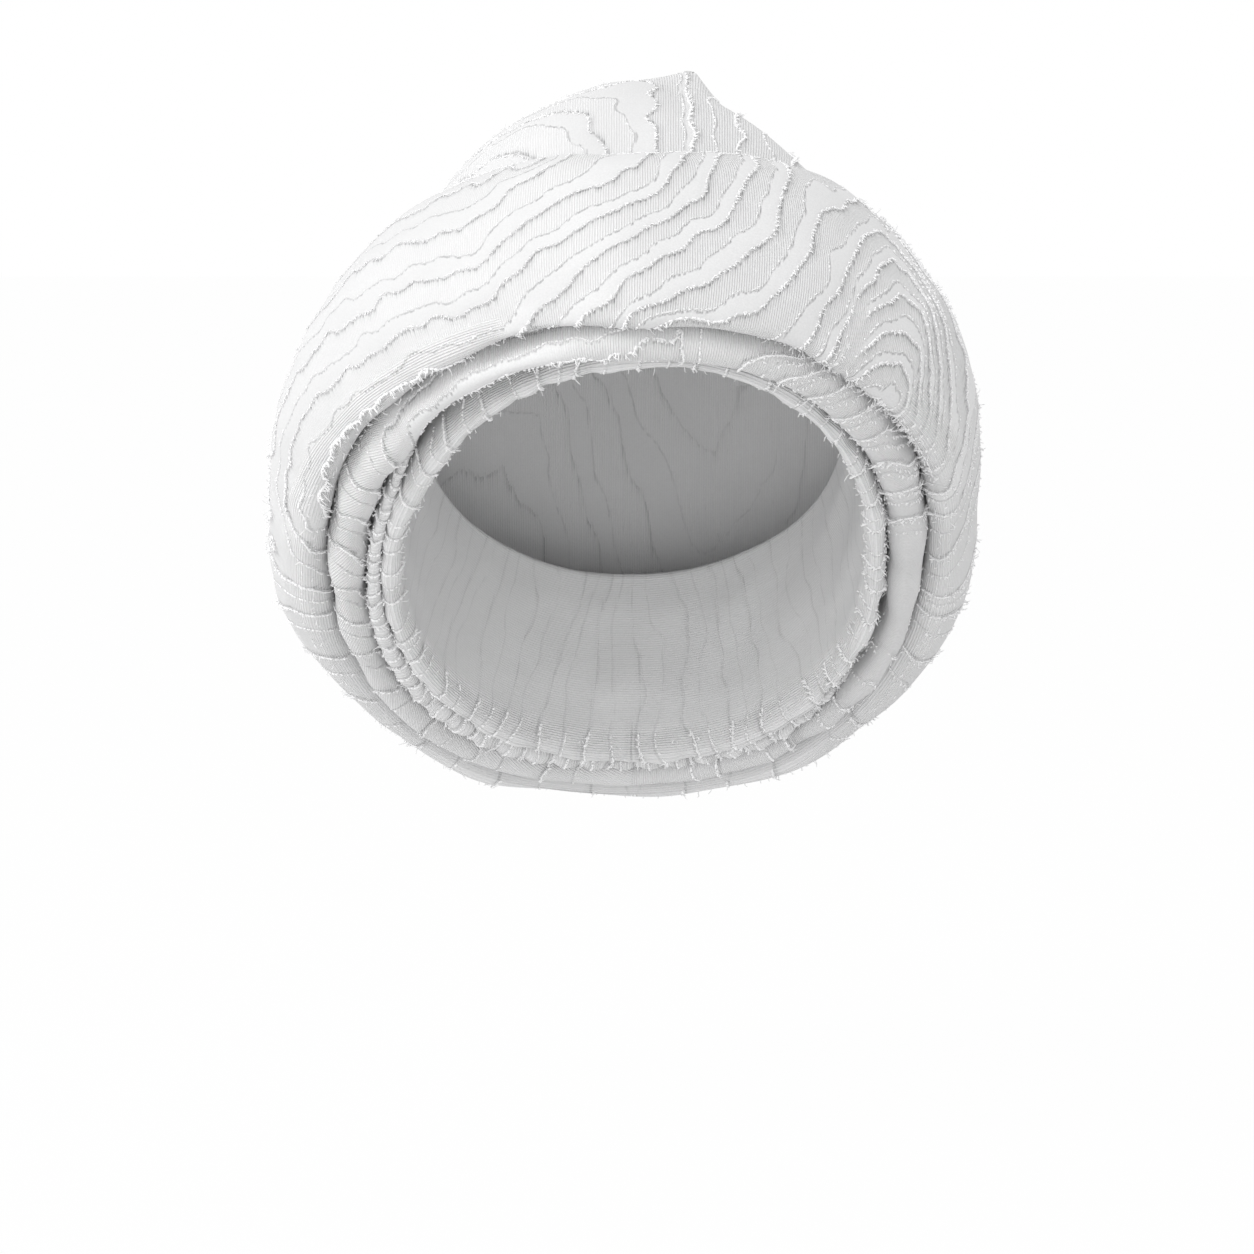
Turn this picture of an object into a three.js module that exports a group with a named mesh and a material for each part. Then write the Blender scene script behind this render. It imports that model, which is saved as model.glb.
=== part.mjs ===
// A soft head wrap: jacquard cloth wound round the head in nested folds under a peaked crown.
// Millimetres, +Z up. The wearer faces -Y, and +X is on the right of someone facing the wrap.
// The origin is the centre of the head opening, in the plane of its rim.
import * as THREE from "three";

// The head opening: an ellipse in a plane that tips down towards the nape.
const RIM_HALF_WIDTH = 78;
const RIM_HALF_FRONT = 105;
const RIM_HALF_BACK = 110;
const RIM_TILT = THREE.MathUtils.degToRad(41);

// The cloth, and the clearance between two layers of it.
const CLOTH = 1.8;
const GAP = 0.4;

// The crown's peak, and the pinch of cloth that stands up at it.
const PEAK = new THREE.Vector3(19.5, 15, 152);
const PEAK_PINCH = 9;
const PINCH_SHARPNESS = 7;

// How finely the solids are faceted.
const TURN_STEPS = 50;

// Turns are degrees round the opening: 0 at the forehead, 90 at the wearer's left ear, 180 at the nape.
// "out" is the distance outside the rim's ellipse, and "up" the distance from the rim's plane.

// The broad outer turn: its inner wall, the fold under it, its belly and its top edge.
const CUFF = table(
  ["turn", "inner", "bottom", "belly_out", "belly_up", "top_out", "top_up"],
  [
    [-150, 37, 5, 49, 24, -32, 112],
    [-120, 31, 8, 52, 32, -16, 110],
    [-90, 23.5, 8, 41.5, 38, -4, 105],
    [-60, 20.5, 5, 40, 39, 6, 97],
    [-30, 19, 3, 35, 35, 14, 81],
    [0, 19.5, 2, 33, 33, 18, 72],
    [30, 22.5, 3, 36, 36, 15, 84],
    [60, 21, 5, 40, 40, 9, 98],
    [90, 20, 7, 36, 38, -2, 106],
    [120, 24, 8, 45, 30, -16, 110],
    [150, 31, 5, 46, 24, -32, 112],
    [180, 31, 2, 40, 22, -38, 112],
  ],
);

// The puffed turn under it: where its inner wall runs, and how low its fold hangs.
const MIDDLE = table(
  ["turn", "inner", "bottom"],
  [
    [-150, 25, 2],
    [-120, 19.4, 2],
    [-90, 10.8, 2],
    [-60, 7.5, 0],
    [-30, 11.5, -2],
    [0, 9, -3],
    [30, 10.6, -2],
    [60, 8.2, 0],
    [90, 7, 2],
    [120, 15, 2],
    [150, 20, 2],
    [180, 18.5, 1],
  ],
);

// The first turn, which lies on the head: its rim, how wide the rim is rolled, and its tall inner wall.
const BAND = table(
  ["turn", "rim", "roll", "waist_out", "top_out"],
  [
    [-150, 8, 5, 0, -15],
    [-120, 5, 5, 1, -8],
    [-90, 0, 4, -1, -5],
    [-60, -5, 6, -3.5, -2],
    [-30, -3.5, 6, -0.5, 4],
    [0, 0.5, 6, 2, 4],
    [30, 4.5, 3.6, 4.8, 6],
    [60, 2.5, 3, 2, 1],
    [90, 0.3, 4.4, -1, -5],
    [120, 4, 5, 0, -8],
    [150, 7, 5, -1, -16],
    [180, 6, 5, -4, -20],
  ],
);

// The crown's cloth between the cuff's top edge and the peak: how far it rises from the edge, and
// how far along the way to the peak it does so.
const CROWN = table(
  ["turn", "rise", "lean"],
  [
    [-150, 95, 0.18],
    [-120, 85, 0.22],
    [-90, 72, 0.32],
    [-60, 57, 0.4],
    [-30, 40, 0.4],
    [0, 21, 0.35],
    [30, 21, 0.45],
    [60, 28, 0.5],
    [90, 52, 0.35],
    [120, 75, 0.25],
    [150, 92, 0.18],
    [180, 103, 0.13],
  ],
);

// A list of rows with named columns, evenly spaced round the opening.
function table(columns, rows) {
  return rows.map((row) => Object.fromEntries(columns.map((name, k) => [name, row[k]])));
}

// A table's values at any turn, carried smoothly from row to row and round the loop.
function rowAt(rows, turn) {
  const pitch = 360 / rows.length;
  const place = (((turn - rows[0].turn) / pitch) % rows.length + rows.length) % rows.length;
  const first = Math.floor(place);
  const t = place - first;
  const near = [-1, 0, 1, 2].map((k) => rows[(first + k + rows.length) % rows.length]);
  const value = {};
  for (const name of Object.keys(rows[0]).slice(1)) {
    const [a, b, c, d] = near.map((row) => row[name]);
    value[name] = b + 0.5 * t * (c - a + t * (2 * a - 5 * b + 4 * c - d + t * (3 * (b - c) + d - a)));
  }
  return value;
}

// A point of the section at a turn, by its distance outside the rim's ellipse and above its plane.
const ACROSS = new THREE.Vector3(1, 0, 0);
const AHEAD = new THREE.Vector3(0, -Math.cos(RIM_TILT), Math.sin(RIM_TILT));
const ABOVE = new THREE.Vector3(0, Math.sin(RIM_TILT), Math.cos(RIM_TILT));
function sectionPoint(turn, out, up) {
  const angle = THREE.MathUtils.degToRad(turn);
  const [sine, cosine] = [Math.sin(angle), Math.cos(angle)];
  const halfLength = cosine > 0 ? RIM_HALF_FRONT : RIM_HALF_BACK;
  return new THREE.Vector3()
    .addScaledVector(ACROSS, (RIM_HALF_WIDTH + out) * sine)
    .addScaledVector(AHEAD, (halfLength + out) * cosine)
    .addScaledVector(ABOVE, up);
}

// Points along a smooth curve through a section's keys, each key being [out, up].
function sectionCurve(turn, keys, count) {
  const points = keys.map(([out, up]) => sectionPoint(turn, out, up));
  return new THREE.CatmullRomCurve3(points, false, "centripetal").getSpacedPoints(count - 1);
}

// The cuff's cloth at a turn, from its inner wall's top, down round the fold and up to the top edge.
// The fold's rounding is given as shares of the way from the inner wall to the belly.
const CUFF_FOLD = table(
  ["across", "along"],
  [
    [0.06, 0.1],
    [0.35, 0],
    [0.82, 0.35],
  ],
);
const CUFF_INNER_HEIGHT = 24;
const CUFF_INNER_BEND = 10;
const CUFF_INNER_SPREAD = 1;
const SHOULDER_SHARE = 0.58;
const SHOULDER_BULGE = 6.5;
const CUFF_POINTS = 17;
function cuffSection(turn) {
  const c = rowAt(CUFF, turn);
  const between = THREE.MathUtils.lerp;
  const fold = CUFF_FOLD.map(({ across, along }) => [
    between(c.inner, c.belly_out, across),
    between(c.bottom, c.belly_up, along),
  ]);
  const shoulder = [
    between(c.belly_out, c.top_out, SHOULDER_SHARE) + SHOULDER_BULGE,
    between(c.belly_up, c.top_up, SHOULDER_SHARE),
  ];
  const keys = [
    [c.inner + CUFF_INNER_SPREAD, c.bottom + CUFF_INNER_HEIGHT],
    [c.inner, c.bottom + CUFF_INNER_BEND],
    ...fold,
    [c.belly_out, c.belly_up],
    shoulder,
    [c.top_out, c.top_up],
  ];
  return sectionCurve(turn, keys, CUFF_POINTS);
}

// The middle roll's cloth at a turn: a puffed fold, open at the top.
// Its rounding is given as shares of the roll's width, across it and up from its lowest line.
const ROLL_FOLD = table(
  ["across", "along"],
  [
    [0, 0.8],
    [0.15, 0.2],
    [0.5, 0],
    [0.85, 0.2],
    [1, 0.8],
  ],
);
const ROLL_INNER_HEIGHT = 26;
const ROLL_OUTER_HEIGHT = 30;
const ROLL_TOP_CLOSING = 0.5;
const ROLL_POINTS = 11;
function rollSection(turn) {
  const { inner, bottom } = rowAt(MIDDLE, turn);
  const outer = rowAt(CUFF, turn).inner - CLOTH - GAP;
  const width = outer - inner;
  const keys = [
    [inner + ROLL_TOP_CLOSING, bottom + ROLL_INNER_HEIGHT],
    ...ROLL_FOLD.map(({ across, along }) => [inner + across * width, bottom + along * width]),
    [outer - ROLL_TOP_CLOSING, bottom + ROLL_OUTER_HEIGHT],
  ];
  return sectionCurve(turn, keys, ROLL_POINTS);
}

// The first turn's cloth at a turn: a tall wall on the head, rolled outwards at the rim.
const BAND_WAIST = 24;
const BAND_TOP = 58;
const BAND_ROLL_HEIGHT = 15;
const BAND_ROLL_BEND = 9;
const BAND_ROLL_SHARE = 0.9;
const BAND_POINTS = 11;
function bandSection(turn) {
  const b = rowAt(BAND, turn);
  const radius = b.roll / 2;
  const keys = [
    [b.top_out, BAND_TOP],
    [b.waist_out, BAND_WAIST],
    [b.rim, radius],
    [b.rim + radius, 0],
    [b.rim + BAND_ROLL_SHARE * b.roll, radius],
    [b.rim + b.roll, BAND_ROLL_BEND],
    [b.rim + b.roll, BAND_ROLL_HEIGHT],
  ];
  return sectionCurve(turn, keys, BAND_POINTS);
}

// The crown's cloth at a turn: a hem along the inside of the cuff, then over its edge to the peak.
const HEM_LEVEL = 40;
const HEM_CLEARANCE = CLOTH + 1.8 * GAP;
const HEM_POINTS = 5;
const CROWN_POINTS = 11;
const PROBE = 2;
function crownSection(turn) {
  const { rise, lean } = rowAt(CROWN, turn);
  const walls = [turn - PROBE, turn, turn + PROBE].map(cuffSection);
  const depth = rowAt(CUFF, turn).top_up - HEM_LEVEL;
  const hem = [];
  for (let k = 0; k <= HEM_POINTS; k++) {
    const back = depth * (1 - k / HEM_POINTS);
    const [before, here, after] = walls.map((wall) => pointFromEnd(wall, back));
    const along = here.clone().sub(pointFromEnd(walls[1], back + PROBE));
    const inward = along.cross(after.sub(before)).normalize();
    hem.push(here.addScaledVector(inward, HEM_CLEARANCE));
  }
  const start = hem.pop();
  const bend = start.clone().lerp(PEAK, lean);
  bend.z = start.z + rise;
  const over = new THREE.QuadraticBezierCurve3(start, bend, PEAK).getPoints(CROWN_POINTS);
  over.forEach((p, k) => {
    p.z += PEAK_PINCH * (k / CROWN_POINTS) ** PINCH_SHARPNESS;
  });
  return [...hem, ...over];
}

// The point of a polyline at a distance before its end.
function pointFromEnd(points, distance) {
  let left = distance;
  for (let k = points.length - 1; k > 0; k--) {
    const step = points[k].distanceTo(points[k - 1]);
    if (step >= left) return points[k].clone().lerp(points[k - 1], left / step);
    left -= step;
  }
  return points[0].clone();
}

// The inner tuck: a gathered fold that starts at one temple and fills the space round the nape.
const TUCK_FROM = -55;
const TUCK_TO = -235;
const TUCK_STEPS = 60;
const TUCK_TOP = 16;
const TUCK_BOTTOM = 1;
const TUCK_ARC_POINTS = 5;
const TUCK_TAPER = 0.12;
const TUCK_END_SHARE = 0.35;
const TUCK_END_RISE = 6;
const TUCK_GATHERS = 15;
const TUCK_GATHER_DEPTH = 1.2;
function tuckSection(share) {
  const turn = THREE.MathUtils.lerp(TUCK_FROM, TUCK_TO, share);
  const b = rowAt(BAND, turn);
  const low = b.rim + b.roll + CLOTH / 2 + GAP;
  const high = rowAt(MIDDLE, turn).inner - CLOTH / 2 - 2 * GAP;
  const ease = Math.min(1, share / TUCK_TAPER, (1 - share) / TUCK_TAPER);
  const swell = THREE.MathUtils.lerp(TUCK_END_SHARE, 1, Math.sin((ease * Math.PI) / 2));
  const half = ((high - low) / 2) * swell;
  const centre = high - half;
  const gather = TUCK_GATHER_DEPTH * Math.sin(share * TUCK_GATHERS * 2 * Math.PI);
  const bottom = TUCK_BOTTOM + gather * swell + TUCK_END_RISE * (1 - ease);
  const points = [sectionPoint(turn, centre - half, TUCK_TOP)];
  for (let k = 0; k < TUCK_ARC_POINTS; k++) {
    const angle = (k / (TUCK_ARC_POINTS - 1)) * Math.PI;
    const out = centre - half * Math.cos(angle);
    points.push(sectionPoint(turn, out, bottom + half * (1 - Math.sin(angle))));
  }
  points.push(sectionPoint(turn, centre + half, TUCK_TOP));
  return points;
}

// A closed mesh from rings of points, wound so that its faces point outwards.
function closedMesh(points, faces) {
  const geometry = new THREE.BufferGeometry().setFromPoints(points);
  let volume = 0;
  for (const [a, b, c] of faces) volume += points[a].dot(points[b].clone().cross(points[c]));
  geometry.setIndex(faces.flatMap(([a, b, c]) => (volume > 0 ? [a, b, c] : [a, c, b])));
  geometry.computeVertexNormals();
  return geometry;
}

// Two triangles for the four-sided patch between points a, b, c and d.
const patch = (a, b, c, d) => [
  [a, b, c],
  [a, c, d],
];

// Unit normals of a grid of cloth, which closes on itself round the opening.
function gridNormals(grid) {
  return grid.map((row, i) =>
    row.map((point, j) => {
      const round = grid[(i + 1) % grid.length][j].clone().sub(grid.at(i - 1)[j]);
      const along = row[Math.min(j + 1, row.length - 1)].clone().sub(row[Math.max(j - 1, 0)]);
      return round.cross(along).normalize();
    }),
  );
}

// A wall of cloth from a grid of points on its middle surface, closed round the opening.
function clothLoop(section) {
  const grid = [];
  for (let i = 0; i < TURN_STEPS; i++) grid.push(section((i / TURN_STEPS) * 360));
  const normals = gridNormals(grid);
  const side = (i, j, sign) => grid[i][j].clone().addScaledVector(normals[i][j], (sign * CLOTH) / 2);
  const rings = grid.map((row, i) => [
    ...row.map((_, j) => side(i, j, 1)),
    ...row.map((_, j) => side(i, row.length - 1 - j, -1)),
  ]);
  const size = rings[0].length;
  const faces = [];
  rings.forEach((_, i) => {
    const next = (i + 1) % rings.length;
    for (let j = 0; j < size; j++) {
      const k = (j + 1) % size;
      faces.push(...patch(i * size + j, next * size + j, next * size + k, i * size + k));
    }
  });
  return closedMesh(rings.flat(), faces);
}

// A domed wall of cloth whose sections all end at one point.
function clothDome(section) {
  const grid = [];
  for (let i = 0; i < TURN_STEPS; i++) grid.push(section((i / TURN_STEPS) * 360));
  const apex = grid[0].at(-1);
  const open = grid.map((row) => row.slice(0, -1));
  const normals = gridNormals(open);
  const size = open[0].length;
  const outerSign = Math.sign(normals[0][size - 1].z);
  const skins = [outerSign, -outerSign].map((sign) =>
    open.map((row, i) =>
      row.map((p, j) => p.clone().addScaledVector(normals[i][j], (sign * CLOTH) / 2)),
    ),
  );
  const lift = new THREE.Vector3(0, 0, CLOTH / 2);
  const points = [...skins.flat(2), apex.clone().add(lift), apex.clone().sub(lift)];
  const at = (skin, i, j) => (skin * TURN_STEPS + (i % TURN_STEPS)) * size + j;
  const [top, under] = [points.length - 2, points.length - 1];
  const faces = [];
  for (let i = 0; i < TURN_STEPS; i++) {
    for (let j = 0; j + 1 < size; j++) {
      faces.push(...patch(at(0, i, j), at(0, i + 1, j), at(0, i + 1, j + 1), at(0, i, j + 1)));
      faces.push(...patch(at(1, i, j), at(1, i, j + 1), at(1, i + 1, j + 1), at(1, i + 1, j)));
    }
    faces.push([at(0, i, size - 1), at(0, i + 1, size - 1), top]);
    faces.push([at(1, i + 1, size - 1), at(1, i, size - 1), under]);
    faces.push(...patch(at(0, i, 0), at(1, i, 0), at(1, i + 1, 0), at(0, i + 1, 0)));
  }
  return closedMesh(points, faces);
}

// A solid fold from sections along an open stretch, closed with a flat face at each end.
function clothBar(section, steps) {
  const rings = [];
  for (let i = 0; i <= steps; i++) rings.push(section(i / steps));
  const size = rings[0].length;
  const faces = [];
  for (let i = 0; i < steps; i++) {
    for (let j = 0; j < size; j++) {
      const k = (j + 1) % size;
      faces.push(...patch(i * size + j, (i + 1) * size + j, (i + 1) * size + k, i * size + k));
    }
  }
  const last = steps * size;
  for (let j = 1; j + 1 < size; j++) {
    faces.push([0, j, j + 1], [last, last + j + 1, last + j]);
  }
  return closedMesh(rings.flat(), faces);
}

const COLOURS = { outside: 0xebebee, shaded: 0xe2e2e6 };
function cloth(name, geometry, color) {
  const material = new THREE.MeshStandardMaterial({ color, roughness: 0.85, metalness: 0 });
  const mesh = new THREE.Mesh(geometry, material);
  mesh.name = name;
  return mesh;
}

const wrap = new THREE.Group();
wrap.add(
  cloth("crown", clothDome(crownSection), COLOURS.outside),
  cloth("outer_cuff", clothLoop(cuffSection), COLOURS.outside),
  cloth("middle_roll", clothLoop(rollSection), COLOURS.outside),
  cloth("inner_tuck", clothBar(tuckSection, TUCK_STEPS), COLOURS.shaded),
  cloth("inner_band", clothLoop(bandSection), COLOURS.shaded),
);

export default wrap;
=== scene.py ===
"""A white jacquard head wrap: wound layers of cloth with woven contour lines and clipped threads."""
import math
from collections import namedtuple

import bmesh
import bpy
import numpy as np
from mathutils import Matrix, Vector


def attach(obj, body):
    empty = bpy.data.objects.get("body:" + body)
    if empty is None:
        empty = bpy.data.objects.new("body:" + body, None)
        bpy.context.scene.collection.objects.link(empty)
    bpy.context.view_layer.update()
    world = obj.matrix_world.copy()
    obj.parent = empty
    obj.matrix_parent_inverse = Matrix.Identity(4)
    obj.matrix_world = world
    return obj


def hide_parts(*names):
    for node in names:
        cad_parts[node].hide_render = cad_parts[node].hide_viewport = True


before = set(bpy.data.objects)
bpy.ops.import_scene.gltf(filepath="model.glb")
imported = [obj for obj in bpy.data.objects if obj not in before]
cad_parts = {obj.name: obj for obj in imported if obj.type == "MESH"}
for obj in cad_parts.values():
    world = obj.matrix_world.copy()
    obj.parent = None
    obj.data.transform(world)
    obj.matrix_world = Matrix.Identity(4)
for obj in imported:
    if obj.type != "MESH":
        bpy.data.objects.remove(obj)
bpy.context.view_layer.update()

MM = 0.001
WELD = 2e-7

# The head opening and the cloth, in millimetres, as in the frame.
RIM_HALF_WIDTH = 78
RIM_HALF_FRONT = 105
RIM_HALF_BACK = 110
RIM_TILT = math.radians(41)
CLOTH = 1.8
GAP = 0.4
PEAK = np.array([19.5, 15, 152])
PEAK_PINCH = 9
PINCH_SHARPNESS = 7

# Each layer's sections, every 30 degrees round the opening from the left of the nape.
TURNS = [-150, -120, -90, -60, -30, 0, 30, 60, 90, 120, 150, 180]
CUFF = {
    "inner": [37, 31, 23.5, 20.5, 19, 19.5, 22.5, 21, 20, 24, 31, 31],
    "bottom": [5, 8, 8, 5, 3, 2, 3, 5, 7, 8, 5, 2],
    "belly_out": [49, 52, 41.5, 40, 35, 33, 36, 40, 36, 45, 46, 40],
    "belly_up": [24, 32, 38, 39, 35, 33, 36, 40, 38, 30, 24, 22],
    "top_out": [-32, -16, -4, 6, 14, 18, 15, 9, -2, -16, -32, -38],
    "top_up": [112, 110, 105, 97, 81, 72, 84, 98, 106, 110, 112, 112],
}
MIDDLE = {
    "inner": [25, 19.4, 10.8, 7.5, 11.5, 9, 10.6, 8.2, 7, 15, 20, 18.5],
    "bottom": [2, 2, 2, 0, -2, -3, -2, 0, 2, 2, 2, 1],
}
BAND = {
    "rim": [8, 5, 0, -5, -3.5, 0.5, 4.5, 2.5, 0.3, 4, 7, 6],
    "roll": [5, 5, 4, 6, 6, 6, 3.6, 3, 4.4, 5, 5, 5],
    "waist_out": [0, 1, -1, -3.5, -0.5, 2, 4.8, 2, -1, 0, -1, -4],
    "top_out": [-15, -8, -5, -2, 4, 4, 6, 1, -5, -8, -16, -20],
}
CROWN = {
    "rise": [95, 85, 72, 57, 40, 21, 21, 28, 52, 75, 92, 103],
    "lean": [0.18, 0.22, 0.32, 0.4, 0.4, 0.35, 0.45, 0.5, 0.35, 0.25, 0.18, 0.13],
}
# Heights at which the layers' cloth bends or ends: above the fold, and for the band above the rim.
CUFF_WALL_UP = 10
CUFF_TAIL_UP = 24
ROLL_INNER_UP = 26
ROLL_OUTER_UP = 30
BAND_LIP_UP = 9
BAND_TAIL_UP = 15
BAND_WAIST_UP = 24
BAND_TOP_UP = 58
# The cuff's shoulder: its share of the way from belly to top edge, and how far it bulges.
CUFF_SHOULDER = 0.58
CUFF_BULGE = 6.5
# The crown's hem goes down inside the cuff to about this height, at this gap from the cuff's cloth.
HEM_UP = 40
HEM_GAP = 1.8 * GAP

# How the woven contour lines run along each wound layer, by the distance round it from the forehead:
# their tilt to the fold in degrees, and the distance from one strong line to the next.
CUFF_LINES = {
    "run": [
        -390, -300, -245, -220, -195, -180, -165, -150, -120, -105, -56, -46, -30, -8, 0, 20, 38,
        60, 70, 74, 84, 92, 98, 104, 110, 116, 125, 150, 180, 200, 230, 243, 275, 308, 390,
    ],
    "tilt": [
        90, 90, 80, 20, 6, 10, 12, 2, 5, -6, -5, 32, 28, 28, 34, 40, 48,
        64, 60, 68, 55, 38, 19, -18, -52, -57, -43, -35, -50, -50, -65, -118, -125, -110, -90,
    ],
    "pitch": [
        30, 29, 30, 24, 16, 13.5, 13.5, 14, 14, 14, 14, 13.5, 13, 12, 10, 12, 13.5,
        16, 12.5, 7, 7, 9, 10.8, 10.5, 6.5, 5.5, 7, 13, 22, 28, 34, 28, 26, 28, 30,
    ],
}
# Beyond these heights the cuff turns away from the front, and its lines lie further apart.
CUFF_TURN_AWAY = {
    "run": [-390, -190, -140, 90, 108, 122, 150, 390],
    "up": [16, 18, 90, 90, 52, 38, 22, 18],
}
ROLL_LINES = {
    "run": [
        -360, -240, -200, -150, -120, -100, -80, -14, -6, 4, 10,
        14, 20, 26, 36, 44, 150, 160, 225, 240, 360,
    ],
    "tilt": [90, 75, 60, 55, 50, 38, 2, 0, 20, 20, 0, -80, -85, -85, -85, -80, -82, -88, -90, -90, -90],
    "pitch": [30, 24, 17, 16, 15, 14, 13, 13, 13, 13, 12, 12, 11, 26, 26, 15, 15, 40, 60, 30, 30],
}
BAND_LINES = {
    "run": [-300, -120, 0, 120, 300],
    "tilt": [88, 80, 74, 80, 92],
    "pitch": [16, 17, 19, 17, 16],
}
# A strong line of each layer passes through this distance round it and height above its fold.
CUFF_START = (38.4, 30)
ROLL_START = (-14, -3)
BAND_START = (0, 0)
# The crown's lines, by their distance right of the middle where they run up and down it.
CROWN_LINES = {
    "across": [-40, -17, -9, 0, 7.5, 16.2, 18, 26, 35, 43, 50, 57, 65, 200],
    "level": [1.3, 0.42, 0, -0.58, -1, -1.58, -2, -2.58, -3, -3.58, -4, -4.58, -5, -13],
}
SATIN_SHARE = 0.42
RIB_PITCH = 0.82
TURNED_PITCH = 0.8
# Painted shade: how much darker the cloth is coloured where its pattern is faint, on the left of the cuff
# and crown where the key light strikes most, and on the cloth's back.
FAINT_PAINTED_SHADE = 0.345
# How faint the pattern is on the back of the cloth.
BACK = {"plain": 0.5, "calm": 0.5}
FRONT = np.array([0, -0.993, 0.115])
LEAST_LEAN = 0.35
GAP_RANGE = (3, 40)
RIPPLE_WAVES = 9


def column(rows, name, turns):
    """One column of a table at the given turns, carried smoothly from row to row round the loop."""
    values = np.array(rows[name], float)
    place = (np.asarray(turns, float) - TURNS[0]) / (360 / len(values)) % len(values)
    first = np.floor(place).astype(int)
    t = place - first
    a, b, c, d = (values[(first + k) % len(values)] for k in (-1, 0, 1, 2))
    return b + 0.5 * t * (c - a + t * (2 * a - 5 * b + 4 * c - d + t * (3 * (b - c) + d - a)))


def section_point(turns, out, up):
    """Points of the sections at the given turns, by their distance outside the rim and above its plane."""
    angle = np.radians(turns)
    half_length = np.where(np.cos(angle) > 0, RIM_HALF_FRONT, RIM_HALF_BACK)
    across = (RIM_HALF_WIDTH + out) * np.sin(angle)
    ahead = (half_length + out) * np.cos(angle)
    sine, cosine = math.sin(RIM_TILT), math.cos(RIM_TILT)
    return np.stack([across, up * sine - ahead * cosine, ahead * sine + up * cosine], -1)


def lengths(points):
    """The distance along a polyline to each of its points."""
    return np.concatenate([[0], np.cumsum(np.linalg.norm(np.diff(points, axis=0), axis=1))])


def along(points, shares):
    """A polyline's points at the given shares of its length."""
    run = lengths(points)
    return np.stack([np.interp(shares * run[-1], run, points[:, k]) for k in range(3)], -1)


def smooth_curves(turns, keys, shares, steps=10):
    """Points along a smooth curve through each section's keys, given as distances out and up."""
    keys = np.stack([section_point(turns, out, up) for out, up in keys])
    keys = np.concatenate([[2 * keys[0] - keys[1]], keys, [2 * keys[-1] - keys[-2]]])
    dense = []
    for p0, p1, p2, p3 in zip(keys, keys[1:], keys[2:], keys[3:]):
        pairs = ((p0, p1), (p1, p2), (p2, p3))
        d0, d1, d2 = (np.sqrt(np.linalg.norm(b - a, axis=-1, keepdims=True)) for a, b in pairs)
        m1 = d1 * ((p1 - p0) / d0 - (p2 - p0) / (d0 + d1) + (p2 - p1) / d1)
        m2 = d1 * ((p2 - p1) / d1 - (p3 - p1) / (d1 + d2) + (p3 - p2) / d2)
        for u in np.arange(steps) / steps:
            square = 3 * (p2 - p1) - 2 * m1 - m2
            cube = 2 * (p1 - p2) + m1 + m2
            dense.append(p1 + u * m1 + u**2 * square + u**3 * cube)
    dense.append(keys[-2])
    return np.stack([along(curve, shares) for curve in np.stack(dense, 1)])


def between(a, b, share):
    return a + (b - a) * share


def unit(vectors):
    return vectors / np.maximum(np.linalg.norm(vectors, axis=-1, keepdims=True), 1e-9)


def cuff_sections(turns, shares):
    """The outer cuff's cloth, from its inner wall down round the fold and up to its top edge."""
    c = {name: column(CUFF, name, turns) for name in CUFF}
    keys = [(c["inner"] + 1, c["bottom"] + CUFF_TAIL_UP), (c["inner"], c["bottom"] + CUFF_WALL_UP)]
    for across, rise in ((0.06, 0.1), (0.35, 0), (0.82, 0.35)):
        out = between(c["inner"], c["belly_out"], across)
        keys.append((out, between(c["bottom"], c["belly_up"], rise)))
    keys.append((c["belly_out"], c["belly_up"]))
    out = between(c["belly_out"], c["top_out"], CUFF_SHOULDER) + CUFF_BULGE
    keys.append((out, between(c["belly_up"], c["top_up"], CUFF_SHOULDER)))
    keys.append((c["top_out"], c["top_up"]))
    return smooth_curves(turns, keys, shares)


def roll_sections(turns, shares):
    """The middle roll's cloth: a puffed fold, open at the top."""
    inner, bottom = column(MIDDLE, "inner", turns), column(MIDDLE, "bottom", turns)
    outer = column(CUFF, "inner", turns) - CLOTH - GAP
    width = outer - inner
    keys = [(inner + 0.5, bottom + ROLL_INNER_UP)]
    for across, rise in ((0, 0.8), (0.15, 0.2), (0.5, 0), (0.85, 0.2), (1, 0.8)):
        keys.append((inner + across * width, bottom + rise * width))
    keys.append((outer - 0.5, bottom + ROLL_OUTER_UP))
    return smooth_curves(turns, keys, shares)


def band_sections(turns, shares):
    """The inner band's cloth: a tall wall on the head, rolled outwards at the rim."""
    b = {name: column(BAND, name, turns) for name in BAND}
    radius = b["roll"] / 2
    level = np.ones_like(radius)
    keys = [
        (b["top_out"], BAND_TOP_UP * level),
        (b["waist_out"], BAND_WAIST_UP * level),
        (b["rim"], radius),
        (b["rim"] + radius, 0 * level),
        (b["rim"] + 0.9 * b["roll"], radius),
        (b["rim"] + b["roll"], BAND_LIP_UP * level),
        (b["rim"] + b["roll"], BAND_TAIL_UP * level),
    ]
    return smooth_curves(turns, keys, shares)


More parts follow.
